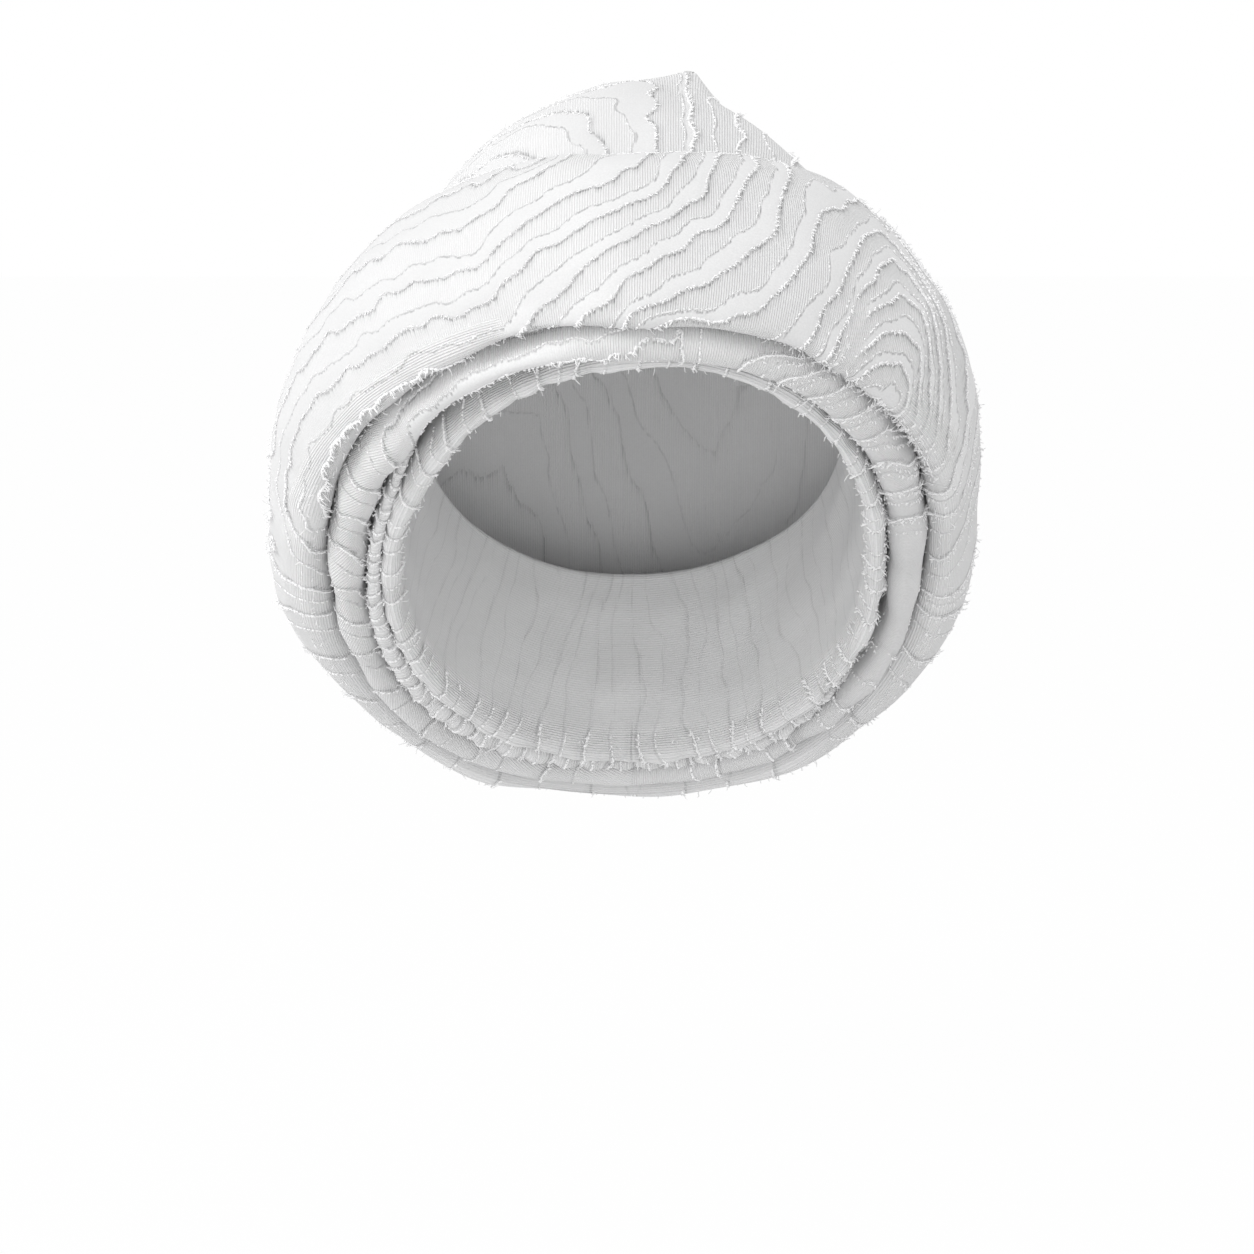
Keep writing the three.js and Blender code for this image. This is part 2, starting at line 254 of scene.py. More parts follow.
def crown_sections(turns, hem_shares, shares):
    """The crown's cloth: a hem along the inside of the cuff, then over the cuff's edge to the peak."""
    rise, lean = column(CROWN, "rise", turns), column(CROWN, "lean", turns)
    depth = column(CUFF, "top_up", turns) - HEM_UP
    wall = cuff_sections(turns, np.linspace(0, 1, 100))
    normals = grid_normals(wall)
    t = shares[:, None]
    sections = []
    for k in range(len(turns)):
        run = lengths(wall[k])
        stops = run[-1] - depth[k] * (1 - hem_shares)
        edge = []
        for values in (wall[k], normals[k]):
            edge.append(np.stack([np.interp(stops, run, values[:, a]) for a in range(3)], -1))
        hem = edge[0] - edge[1] * (CLOTH + HEM_GAP)
        start = hem[-1]
        bend = between(start, PEAK, lean[k])
        bend[2] = start[2] + rise[k]
        over = (1 - t) ** 2 * start + 2 * t * (1 - t) * bend + t**2 * PEAK
        over[:, 2] += PEAK_PINCH * shares**PINCH_SHARPNESS
        sections.append(np.concatenate([hem[:-1], over]))
    return np.stack(sections)


def grid_normals(grid):
    """Unit normals of a grid of cloth that closes on itself, on the side that shows."""
    around = np.gradient(grid, axis=0)
    around[0] = around[-1] = grid[1] - grid[-2]
    return unit(np.cross(around, np.gradient(grid, axis=1)))


def ripple(points, size, seed):
    """Smooth noise of about unit height over points in space, with waves of about the given size."""
    draw = np.random.default_rng(seed)
    total = np.zeros(points.shape[:-1])
    for _ in range(RIPPLE_WAVES):
        wave = draw.normal(size=3)
        wave *= 2 * math.pi / (size * draw.uniform(0.7, 1.4) * np.linalg.norm(wave))
        total += np.sin(points @ wave + draw.uniform(0, 2 * math.pi))
    return total / 2.1


def step(low, high, value):
    """A smooth rise from 0 at low to 1 at high."""
    t = np.clip((value - low) / (high - low), 0, 1)
    return t * t * (3 - 2 * t)


def stretch(low, full, ease, high, value):
    """A smooth rise from low to full, and a fall from ease to high."""
    return step(low, full, value) * (1 - step(ease, high, value))


def seen_height(grid, fold_row):
    """Height up each section from its fold, counted shorter where the cloth leans away from the front."""
    rise = np.diff(grid, axis=1)
    size = np.linalg.norm(rise, axis=-1)
    lean = (rise @ FRONT) / np.maximum(size, 1e-9)
    part = np.clip(np.sqrt(np.clip(1 - lean**2, 0, 1)), LEAST_LEAN, 1)
    height = np.cumsum(size * part, 1)
    height = np.concatenate([0 * height[:, :1], height], 1)
    return height - height[:, [fold_row]]


def strip_lines(run, up, rows, start):
    """Contour values over a wound strip: whole numbers on the strong lines, which meet at the nape."""
    stops = np.arange(rows["run"][0] - 60, rows["run"][-1] + 60, 1.0)
    tilt = np.radians(np.interp(stops, rows["run"], rows["tilt"]))
    pitch = np.interp(stops, rows["run"], rows["pitch"])
    total = np.cumsum(-np.sin(tilt) / pitch)
    total -= np.interp(start[0], stops, total)
    contour = np.interp(run, stops, total) + np.interp(run, stops, np.cos(tilt) / pitch) * (up - start[1])
    miss = contour[-1].mean() - contour[0].mean()
    share = (run - run[:1]) / (run[-1:] - run[:1])
    return contour + (np.round(miss) - miss) * (share - 0.5)


def level_run(run, grid, fold_row, share, limit):
    """The distance round a layer, counted by the height of its fold where share is 1, within a limit."""
    fold = grid[:, fold_row, 2]
    middle = len(fold) // 2
    flat = run.copy()
    for half in (slice(0, middle + 1), slice(middle, None)):
        order = np.argsort(fold[half])
        flat[half] = np.interp(grid[half, :, 2], fold[half][order], run[half, 0][order])
    return run + share * np.clip(flat - run, -limit, limit)


def mound(run, up, at, size):
    """A smooth round rise of unit height at one place on a layer."""
    return np.exp(-(((run - at[0]) / size[0]) ** 2) - ((up - at[1]) / size[1]) ** 2)


def line_gap(grid, contour):
    """The distance in millimetres from one strong line to the next at each point of a layer."""
    around, along_section = np.gradient(grid, axis=0), np.gradient(grid, axis=1)
    rise_around, rise_along = np.gradient(contour, axis=0), np.gradient(contour, axis=1)
    e = (around**2).sum(-1)
    f = (around * along_section).sum(-1)
    g = (along_section**2).sum(-1)
    area = np.maximum(e * g - f**2, 1e-9)
    slope = (g * rise_around**2 - 2 * f * rise_around * rise_along + e * rise_along**2) / area
    return np.clip(1 / np.sqrt(np.maximum(slope, 1e-9)), *GAP_RANGE)


def line_relief(contour, gap):
    """The cloth's height over its contour lines: raised satin above a strong line, a groove below it."""
    place = contour % 1
    strong = ((place + 0.5) % 1 - 0.5) * gap
    weak = (place - SATIN_SHARE) * gap
    satin = 0.5 * (np.tanh(strong / 0.7) - np.tanh(weak / 0.8)) + (place > 0.5)
    return satin - 0.5 * np.exp(-(((strong + 0.6) / 0.6) ** 2))


def put_in_scene(name, data):
    """A new object in the scene."""
    thing = bpy.data.objects.new(name, data)
    bpy.context.scene.collection.objects.link(thing)
    return thing


def new_object(name, maker, material, values=None):
    """A piece of the wrap from a bmesh grid, welded at its seams, with attributes at the grid's corners."""
    mesh = bpy.data.meshes.new(name)
    maker.to_mesh(mesh)
    maker.free()
    corners = np.empty(len(mesh.loops), np.int32)
    mesh.loops.foreach_get("vertex_index", corners)
    for key, value in (values or {}).items():
        layer = mesh.attributes.new(key, "FLOAT", "CORNER")
        layer.data.foreach_set("value", value.T.reshape(-1)[corners].astype(np.float32))
    maker = bmesh.new()
    maker.from_mesh(mesh)
    bmesh.ops.remove_doubles(maker, verts=maker.verts, dist=WELD)
    bmesh.ops.recalc_face_normals(maker, faces=maker.faces)
    maker.to_mesh(mesh)
    maker.free()
    mesh.shade_smooth()
    piece = put_in_scene(name, mesh)
    mesh.materials.append(material)
    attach(piece, "root")
    return piece


def mapped_grid(points):
    """A bmesh grid whose corners lie on a (column, row, xyz) array in millimetres."""
    columns, rows = points.shape[:2]
    maker = bmesh.new()
    bmesh.ops.create_grid(maker, x_segments=columns - 1, y_segments=rows - 1, size=1)
    places = (points * MM).transpose(1, 0, 2).reshape(-1, 3)
    for vertex, place in zip(maker.verts, places):
        vertex.co = place
    return maker


def cloth(name, outside, lining, values, material, slack=0.0):
    """A closed wall of cloth: the side that shows, a rounded edge, the lining, and a rounded edge back.

    outside is (column, row, xyz), lining its number of rows inside; values hold the named attributes at
    outside's points, and slack how far the lining hangs loose there.
    """
    lining_rows = np.round(np.linspace(outside.shape[1] - 1, 0, lining)).astype(int)
    normals = grid_normals(outside)
    loose = slack + 0 * outside[..., 0]
    inside = outside[:, lining_rows] - normals[:, lining_rows] * (CLOTH + loose[:, lining_rows, None])
    rims = []
    for last, before in ((-1, -2), (0, 1)):
        lead = unit(outside[:, last] - outside[:, before])
        rim = outside[:, last] - normals[:, last] * CLOTH / 2 + lead * CLOTH / 2.5
        rims.append(rim[:, None])
    ring = np.concatenate([outside, rims[0], inside, rims[1], outside[:, :1]], 1)
    marks = {}
    for key, value in values.items():
        backs = BACK.get(key, value[:, lining_rows]) + 0 * value[:, lining_rows]
        marks[key] = np.concatenate([value, value[:, -1:], backs, value[:, :1], value[:, :1]], 1)
    return new_object(name, mapped_grid(ring), material, marks)


# Short straight steps along a layer's lines or edges: their ends, the cloth's normal and the way down from
# the line, then for lines whether it is strong, the grid's column and row, and the way down the section.
Steps = namedtuple("Steps", "start end normal fall strong column row down", defaults=[None] * 4)
SHORTEST_STEP = 0.05
LONGEST_STEP = 6


def line_steps(points, normals, contour, keep):
    """Short straight steps along the contour lines of a grid, strong and weak."""
    found = []
    for shift, strong in ((0.0, True), (SATIN_SHARE, False)):
        q = contour - shift
        level = np.floor(q)

        def crossings(a, b):
            """Which edges of the grid's cells a line crosses, and where."""
            cut = level[a] != level[b]
            gap = np.where(cut, q[b] - q[a], 1)
            share = np.clip((np.maximum(level[a], level[b]) - q[a]) / gap, 0, 1)
            return cut, points[a] + (points[b] - points[a]) * share[..., None]

        here, after = slice(None, -1), slice(1, None)
        low = crossings((here, here), (after, here))
        high = crossings((here, after), (after, after))
        left = crossings((here, here), (here, after))
        right = crossings((after, here), (after, after))
        cuts = np.stack([e[0] for e in (low, right, high, left)], -1)
        ends = np.stack([e[1] for e in (low, right, high, left)], -2)
        i, j = np.nonzero((cuts.sum(-1) == 2) & keep[:-1, :-1])
        first = cuts[i, j].argmax(-1)
        last = 3 - cuts[i, j][:, ::-1].argmax(-1)
        a, b = ends[i, j, first], ends[i, j, last]
        east = points[i + 1, j] - points[i, j]
        north = points[i, j + 1] - points[i, j]
        rise_east = (q[i + 1, j] + q[i + 1, j + 1] - q[i, j] - q[i, j + 1]) / 2
        rise_north = (q[i, j + 1] + q[i + 1, j + 1] - q[i, j] - q[i + 1, j]) / 2
        fall = -east * (rise_east / np.maximum((east**2).sum(-1), 1e-6))[:, None]
        fall -= north * (rise_north / np.maximum((north**2).sum(-1), 1e-6))[:, None]
        size = np.linalg.norm(b - a, axis=-1)
        good = (size > SHORTEST_STEP) & (size < LONGEST_STEP)
        steps = Steps(a, b, normals[i, j], unit(fall), np.full(len(i), strong), i, j, -unit(north))
        found.append([part[good] for part in steps])
    return Steps(*(np.concatenate(parts) for parts in zip(*found)))


def scatter(steps, spacing, weight, draw):
    """Places along the steps, closer together where the weight is larger: their index, and the point."""
    size = np.linalg.norm(steps.end - steps.start, axis=-1)
    ends = np.cumsum(size * weight / spacing)
    stops = np.arange(0.5, ends[-1], 1.0)
    stops = stops + draw.uniform(-0.4, 0.4, len(stops))
    at = np.clip(np.searchsorted(ends, stops), 0, len(ends) - 1)
    share = draw.uniform(0, 1, len(at))[:, None]
    return at, steps.start[at] + (steps.end[at] - steps.start[at]) * share


def tufts(steps, spacing, weight, length, half, lift, lead, spread, draw, reach=0.0):
    """Clipped yarn ends lying out along lead, at a reach from the lines: centre lines and half widths."""
    at, root = scatter(steps, spacing, weight, draw)
    normal, lead = steps.normal[at], lead[at]
    root = root + lead * reach
    side = np.cross(normal, lead)
    count = len(at)
    size = (length[at] * draw.uniform(0.6, 1.4, count))[:, None]
    lean = unit(lead + side * draw.normal(0, spread, count)[:, None])
    rise = (lift[at] * draw.uniform(0.3, 1.5, count))[:, None]
    paths = []
    for share, up in ((-0.1, -0.25), (0.3, 0.5), (0.7, 0.9), (1.0, 1.0)):
        paths.append(root + lean * size * share + normal * rise * size * up)
    paths[2] = paths[2] + side * draw.normal(0, 0.18, count)[:, None] * size
    wide = half[at] * draw.uniform(0.75, 1.25, count)
    return np.stack(paths, 1), wide[:, None] * np.array([0.2, 1, 0.85, 0.25])


def beads(steps, spacing, weight, length, half, draw):
    """Short floats of yarn lying along the lines: their centre lines and half widths."""
    at, root = scatter(steps, spacing, weight, draw)
    normal, fall = steps.normal[at], steps.fall[at]
    line = np.cross(normal, fall)
    count = len(at)
    size = (length * draw.uniform(0.6, 1.4, count))[:, None]
    lean = unit(line + fall * draw.normal(0, 0.5, count)[:, None])
    wide = half[at] * draw.uniform(0.7, 1.3, count)
    paths = []
    for share, up in ((-0.5, -0.3), (-0.2, 0.45), (0.2, 0.45), (0.5, -0.3)):
        paths.append(root + lean * size * share + normal * wide[:, None] * up)
    return np.stack(paths, 1), wide[:, None] * np.array([0.3, 1, 1, 0.3])


# Separate cut ends in rows below the thin lines: an end is its length, half width and lift.
ROW_SPACING = 1.9
ROW_END = (1.2, 0.3, 0.35)
ROW_SPREAD = 0.2
ROW_REACH = 1.4


def line_threads(steps, fray, share, seed, rows=None, teeth=1.7, fuzz=3.2, floats=1.5, dots=2.6):
    """All the clipped threads of one layer, thicker and longer where its lines are frayed.

    teeth, fuzz, floats and dots are the distances between the short thick ends, the fine ends and the
    floats along the strong lines, and the floats along the weak ones; share is how many of them show.
    rows is where the lines are thin, each with a row of separate cut ends below it.
    """
    draw = np.random.default_rng(seed)
    rows = 0 * fray if rows is None else rows
    cut = Steps(*(part[steps.strong] for part in steps))
    thin = Steps(*(part[~steps.strong] for part in steps))
    at, thin_at = (cut.column, cut.row), (thin.column, thin.row)
    loose, thin_loose = fray[at], fray[thin_at]
    seen, thin_seen = share[at], share[thin_at]
    row, thin_row = rows[at], rows[thin_at]
    drop = unit(cut.fall + 1.2 * cut.down)
    down, thin_down = (part.fall * -np.sign(part.fall[:, 2:]) for part in (cut, thin))
    thick, tooth, tooth_lift = 0.23 + 0.1 * loose, 1.2 + 0.1 * loose, 0.45 + 0.3 * loose
    fine, hair, hair_lift = 0.13 + 0.03 * loose, 1.0 + 0.8 * loose, 0.6 + 0.4 * loose
    cord, thin_cord = 0.22 + 0.2 * loose - 0.2 * row, 0.17 + 0.2 * thin_loose - 0.2 * thin_row
    row_end = [np.full(len(loose), size) for size in ROW_END]
    thin_row_end = [np.full(len(thin_loose), size) for size in ROW_END]
    strands = (0.4 + 1.5 * loose) * seen
    thin_strands = (0.6 + 1.8 * thin_loose**2 * (1 - thin_row)) * thin_seen
    return [
        tufts(cut, teeth, seen * (1 - 0.6 * row), tooth, thick, tooth_lift, drop, 0.5, draw),
        tufts(cut, fuzz, seen, hair, fine, hair_lift, cut.fall, 0.7, draw),
        beads(cut, floats, strands, 1.6, cord, draw),
        beads(thin, dots, thin_strands, 1.2, thin_cord, draw),
        tufts(cut, ROW_SPACING, seen * row, *row_end, down, ROW_SPREAD, draw, ROW_REACH),
        tufts(thin, ROW_SPACING, thin_seen * thin_row, *thin_row_end, thin_down, ROW_SPREAD, draw),
    ]


# Threads along one row of a layer: floats in a cord of some half width, or loose ends where it is 0.
Edge = namedtuple("Edge", "row spacing cord share", defaults=[0, 1])
EDGE_END = (1.5, 0.2, 0.9)


def edge_threads(surface, normals, edges, seed):
    """Loose ends and cords along rows of a layer, thinned out by each edge's share along the row."""
    draw = np.random.default_rng(seed)
    parts = []
    for row, spacing, cord, share in edges:
        points = surface[:, row]
        inwards = unit((surface[:, row - 1] - points)[:-1])
        steps = Steps(points[:-1], points[1:], normals[:-1, row], inwards)
        even = np.ones(len(inwards))
        weight = (share + 0 * points[:, 0])[:-1]
        if cord:
            parts.append(beads(steps, spacing, weight, 1.7, cord * even, draw))
        else:
            lead = inwards * draw.choice([-1, 1], len(even))[:, None]
            ends = [size * even for size in EDGE_END]
            parts.append(tufts(steps, spacing, weight, *ends, lead, 0.7, draw))
    return parts


def yarns(name, parts, material, sides=3):
    """One piece from many short tapered yarns, given as lists of centre lines and half widths."""
    paths = np.concatenate([part[0] for part in parts])
    half = np.concatenate([part[1] for part in parts])
    count, rows = half.shape
    lead = unit(paths[:, -1] - paths[:, 0])
    other = np.where(np.abs(lead[:, 2:]) < 0.8, [[0.0, 0.0, 1.0]], [[1.0, 0.0, 0.0]])
    u = unit(np.cross(lead, other))
    v = np.cross(lead, u)
    angle = np.linspace(0, 2 * math.pi, sides + 1)
    spoke = u[:, None] * np.cos(angle)[:, None] + v[:, None] * np.sin(angle)[:, None]
    rings = paths[:, :, None] + half[:, :, None, None] * spoke[:, None]
    rings[:, 0] = paths[:, :1]
    rings[:, -1] = paths[:, -1:]
    maker = mapped_grid(rings.reshape(count * rows, sides + 1, 3).transpose(1, 0, 2))
    joins = []
    for face in maker.faces:
        first = min(vertex.index for vertex in face.verts)
        if first // (sides + 1) % rows == rows - 1:
            joins.append(face)
    bmesh.ops.delete(maker, geom=joins, context="FACES")
    return new_object(name, maker, material)


# Materials: colours, and the scales of the noises in them.
CLOTH_COLOUR = (0.935, 0.935, 0.937, 1)
# The dark colour the cloth mixes towards for its grain and for its painted shade.
GRAIN_AND_PAINTED_SHADE_COLOUR = (0.05, 0.05, 0.055, 1)
# The yarn's colours, which it also glows with as painted light.
YARN_COLOUR = (0.97, 0.97, 0.97, 1)
YARN_SHADE = (0.88, 0.88, 0.89, 1)
CLOTH_RELIEF = 0.4
CLOUD_SCALE = 35.0
SPECKLE_SCALE = 700.0
GRAIN_SCALE = 1500.0
FIBRE_SCALE = 2600.0
# Each line's cuts are those of the line before it, moved this many ribs.
LINE_STRIDE = 57.0
# How far from a line its painted shadow and the bump of its edges reach, and how far below it the painted
# shade and deeper ridges of the ribs reach, in millimetres.
LINE_REACH = 2.0
UNDER_REACH = 4.0


def put(tree, kind, settings=None, **inputs):
    """A new node with its settings and inputs; an input is a value or another node's output."""
    node = tree.nodes.new(kind)
    for key, value in (settings or {}).items():
        setattr(node, key, value)
    for key, value in inputs.items():
        numbered = key[0] == "i" and key[1:].isdigit()
        socket = node.inputs[int(key[1:])] if numbered else node.inputs[key.replace("_", " ")]
        if isinstance(value, bpy.types.NodeSocket):
            tree.links.new(value, socket)
        else:
            socket.default_value = value
    return node


def new_finish(name, settings):
    """A new material with some settings of its shader: the material, its nodes and the shader."""
    material = bpy.data.materials.new(name)
    material.use_nodes = True
    shader = material.node_tree.nodes["Principled BSDF"]
    for key, value in settings.items():
        shader.inputs[key].default_value = value
    return material, material.node_tree, shader


def noise(tree, place, scale, detail=2.0):
    """Noise about one half over a place in space."""
    return put(tree, "ShaderNodeTexNoise", Vector=place, Scale=scale, Detail=detail).outputs[0]


def sum_up(tree, operation, a, b=0.0, c=0.0):
    """One sum of up to three values."""
    return put(tree, "ShaderNodeMath", {"operation": operation}, i0=a, i1=b, i2=c).outputs[0]


def scale_add(tree, value, factor, plus):
    """A value times a factor, plus another value."""
    return sum_up(tree, "MULTIPLY_ADD", value, factor, plus)


def times(tree, *values):
    total = values[0]
    for value in values[1:]:
        total = sum_up(tree, "MULTIPLY", total, value)
    return total


def ramp(tree, value, stops):
    """A value read off a short list of (place, level) stops."""
    node = put(tree, "ShaderNodeValToRGB", i0=value)
    points = node.color_ramp.elements
    while len(points) < len(stops):
        points.new(0.5)
    for point, (place, level) in zip(points, stops):
        point.position = place
        point.color = (level, level, level, 1)
    return node.outputs[0]


def blend(tree, share, a, b):
    """The value a share of the way from a to b."""
    return put(tree, "ShaderNodeMix", {"data_type": "FLOAT"}, i0=share, i2=a, i3=b).outputs[0]


WEAVE_INPUTS = ("Contour", "Gap", "Rib", "Rise", "Turned", "Fray", "Plain", "Smooth", "Calm")


def woven_contours():
    """The jacquard weave: satin and ribbed bands between cut lines, as height, tint and satin mask; the
    tint holds painted shade along the lines, in the rib furrows and where the pattern is faint.

    Contour counts the strong lines and Gap is the distance between them. Rib and Rise measure the cloth
    across and along its ribs. Turned is where the ribs run the other way, Fray where loose ends cover
    the lines, Plain how faint the pattern is, Smooth where satin may lie between the ribs and Calm
    where the lines die out.
    """
    group = bpy.data.node_groups.new("woven_contours", "ShaderNodeTree")
    sockets = [(name, "INPUT", "Float") for name in WEAVE_INPUTS] + [("Place", "INPUT", "Vector")]
    sockets += [(name, "OUTPUT", "Float") for name in ("Height", "Tint", "Satin")]
    for name, way, kind in sockets:
        group.interface.new_socket(name=name, in_out=way, socket_type="NodeSocket" + kind)
    source = group.nodes.new("NodeGroupInput").outputs
    result = group.nodes.new("NodeGroupOutput").inputs

    ribs = sum_up(group, "DIVIDE", source["Rib"], RIB_PITCH)
    rows = sum_up(group, "DIVIDE", source["Rise"], TURNED_PITCH)
    waves = [sum_up(group, "SINE", times(group, count, 2 * math.pi)) for count in (ribs, rows)]
    wave = blend(group, source["Turned"], *waves)
    furrow = scale_add(group, wave, -0.5, 0.5)
    rib_number = sum_up(group, "FLOOR", ribs)
    line_number = sum_up(group, "FLOOR", source["Contour"])
    rib_on_line = scale_add(group, line_number, LINE_STRIDE, rib_number)
    cut = put(group, "ShaderNodeTexWhiteNoise", {"noise_dimensions": "1D"}, W=rib_on_line).outputs["Value"]
    specks = noise(group, source["Place"], SPECKLE_SCALE)
    ragged = scale_add(group, cut, 0.7, times(group, specks, 0.6))
    jag = sum_up(group, "ADD", source["Contour"], sum_up(group, "DIVIDE", ragged, source["Gap"]))
    place = sum_up(group, "FRACT", jag)

    def reach(distance, limit, stops):
        """A level read off stops by a distance in millimetres, up to limit."""
        share = times(group, distance, source["Gap"], 1 / limit)
        return ramp(group, share, [(far / limit, level) for far, level in stops])

    below = sum_up(group, "SUBTRACT", 1.0, place)
    from_weak = sum_up(group, "ABSOLUTE", sum_up(group, "SUBTRACT", place, SATIN_SHARE))
    lined = sum_up(group, "SUBTRACT", 1.0, source["Calm"])
    satin = times(group, sum_up(group, "LESS_THAN", place, SATIN_SHARE), source["Smooth"], lined)
    ribbed = sum_up(group, "SUBTRACT", 1.0, satin)
    strong = reach(below, LINE_REACH, [(0, 1), (0.45, 1), (1.0, 0)])
    lip = reach(place, LINE_REACH, [(0, 1), (0.25, 0)])
    weak = reach(from_weak, LINE_REACH, [(0, 1), (0.2, 0.9), (0.5, 0)])
    under = reach(below, UNDER_REACH, [(0, 1), (0.7, 0.9), (2.6, 0)])

    patterned = scale_add(group, source["Plain"], -0.93, 1.0)
    clear = sum_up(group, "SUBTRACT", 1.0, sum_up(group, "POWER", source["Plain"], 4.0))
    crisp = scale_add(group, source["Fray"], -0.45, 1.0)
    # Painted shadow: the strong and weak lines and the satin's edge are darkened where the cut edge and its
    # groove would shade the cloth, and the rib furrows just under each strong line (teeth) are darkened
    # too.
    teeth = times(group, under, furrow, scale_add(group, cut, 0.26, 0.04))
    strong_line_painted_shadow = times(group, strong, scale_add(group, cut, 0.26, 0.06))
    weak_line_painted_shadow = times(group, weak, scale_add(group, cut, 0.3, 0.06))
    shade = sum_up(group, "ADD", sum_up(group, "ADD", teeth, strong_line_painted_shadow), weak_line_painted_shadow)
    shade = scale_add(group, lip, 0.12, shade)
    # Painted shade in the rib furrows, on top of their bump.
    rib_painted_shade = times(group, ribbed, furrow, 0.1)
    grain = noise(group, source["Place"], GRAIN_SCALE)
    grain = scale_add(group, grain, 0.15, times(group, satin, 0.1))
    # The ground goes towards the faint painted shade as the pattern fades.
    ground = blend(group, patterned, FAINT_PAINTED_SHADE, sum_up(group, "ADD", rib_painted_shade, grain))
    shade = sum_up(group, "ADD", times(group, shade, crisp, lined, clear), ground)
    group.links.new(sum_up(group, "SUBTRACT", 1.0, shade), result["Tint"])

    crest = reach(place, LINE_REACH, [(0, 0), (0.4, 1)])
    dip = reach(from_weak, LINE_REACH, [(0, 1), (0.5, 0)])
    level = scale_add(group, times(group, satin, crest), 0.5, 0.5)
    level = scale_add(group, dip, -0.25, level)
    level = scale_add(group, strong, -0.45, level)
    rib_rise = scale_add(group, under, 0.08, 0.34)
    rib_height = times(group, wave, rib_rise, ribbed, patterned, patterned)
    fibres = noise(group, source["Place"], FIBRE_SCALE, detail=1.0)
    height = sum_up(group, "ADD", times(group, level, clear, lined), rib_height)
    height = scale_add(group, fibres, 0.26, height)
    group.links.new(height, result["Height"])
    group.links.new(times(group, satin, patterned), result["Satin"])
    return group


WEAVE = woven_contours()


def jacquard():
    """The wrap's cloth, from the attributes of its layers."""
    settings = {"Sheen Weight": 0.08, "Specular IOR Level": 0.15}
    material, tree, shader = new_finish("jacquard_cloth_painted_shade", settings)
    place = put(tree, "ShaderNodeTexCoord").outputs["Object"]
    inputs = {"Place": place}
    for key in WEAVE_INPUTS:
        inputs[key] = put(tree, "ShaderNodeAttribute", {"attribute_name": key.lower()}).outputs["Fac"]
    weave = put(tree, "ShaderNodeGroup", {"node_tree": WEAVE}, **inputs)
    clouds = noise(tree, place, CLOUD_SCALE, detail=3.0)
    soft = scale_add(tree, clouds, 0.04, 0.98)
    share = times(tree, weave.outputs["Tint"], soft)
    # The cloth's colour, darkened by its grain and by the painted shade in the weave.
    tint_with_painted_shade = put(tree, "ShaderNodeMix", {"data_type": "RGBA"}, i0=share, i6=GRAIN_AND_PAINTED_SHADE_COLOUR, i7=CLOTH_COLOUR)
    tree.links.new(tint_with_painted_shade.outputs[2], shader.inputs["Base Color"])
    gloss = scale_add(tree, weave.outputs["Satin"], -0.1, 0.85)
    tree.links.new(gloss, shader.inputs["Roughness"])
    height = weave.outputs["Height"]
    bump = put(tree, "ShaderNodeBump", Strength=1.0, Distance=CLOTH_RELIEF * MM, Height=height)
    tree.links.new(bump.outputs[0], shader.inputs["Normal"])
    return material


def thread_finish():
    """The clipped yarn ends: the cloth's own yarn, fluffed, with a faint glow of painted light that makes
    it look brighter.
    """
    settings = {"Emission Strength": 0.12, "Roughness": 0.8, "Sheen Weight": 0.2, "Specular IOR Level": 0.2}
    material, tree, shader = new_finish("clipped_yarn_painted_glow", settings)
    place = put(tree, "ShaderNodeTexCoord").outputs["Object"]
    fluff = noise(tree, place, GRAIN_SCALE)
    shade = put(tree, "ShaderNodeMix", {"data_type": "RGBA"}, i0=fluff, i6=YARN_SHADE, i7=YARN_COLOUR)
    tree.links.new(shade.outputs[2], shader.inputs["Base Color"])
    # Painted light: the yarn glows faintly in its own colour.
    tree.links.new(shade.outputs[2], shader.inputs["Emission Color"])
    return material


CLOTH_FINISH = jacquard()
YARN = thread_finish()


def loop_distance(grid, row):
    """Each column's distance from the forehead along one row of a wound layer."""
    run = lengths(grid[:, row])
    run = run - run[len(run) // 2]
    return run[:, None] + 0 * grid[..., 0]


def section_height(grid, fold_row):
    """Each point's distance along its section from the fold."""
    up = np.stack([lengths(section) for section in grid])
    return up - up[:, [fold_row]]


# How much fraying flattens a line, and the share of the threads that cloth facing away keeps.
FRAY_FLATTENS = 0.65
AWAY_SHARE = 0.45


def dress(name, node, grid, marks, shown, relief, lining, threads, edges, slack=0.0):
    """One layer: its cloth with raised lines, and its clipped threads along the lines and edges."""
    normals = grid_normals(grid)
    gap = line_gap(grid, marks["contour"])
    zero = 0 * shown
    values = {"turned": zero, "rise": zero, "plain": 1 - shown, "gap": gap}
    values.update({"smooth": zero + 1, "calm": zero, **marks})
    flatter = (1 - FRAY_FLATTENS * np.minimum(marks["fray"], 1)) * values["smooth"] * (1 - values["calm"])
    rise = CLOTH / 2 + relief * line_relief(marks["contour"], gap) * shown * flatter
    surface = grid + normals * rise[..., None]
    surface[-1] = surface[0]
    piece = cloth(name, surface, lining, values, CLOTH_FINISH, slack)
    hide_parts(node)
    steps = line_steps(surface, normals, marks["contour"], shown > 0.5)
    share = between(AWAY_SHARE, 1, step(-0.35, 0.1, normals @ FRONT)) * (1 - values["calm"])
    parts = line_threads(steps, marks["fray"], share, **threads)
    parts += edge_threads(surface, normals, edges, threads["seed"] + 100)
    return piece, yarns(name + "_threads", parts, YARN)


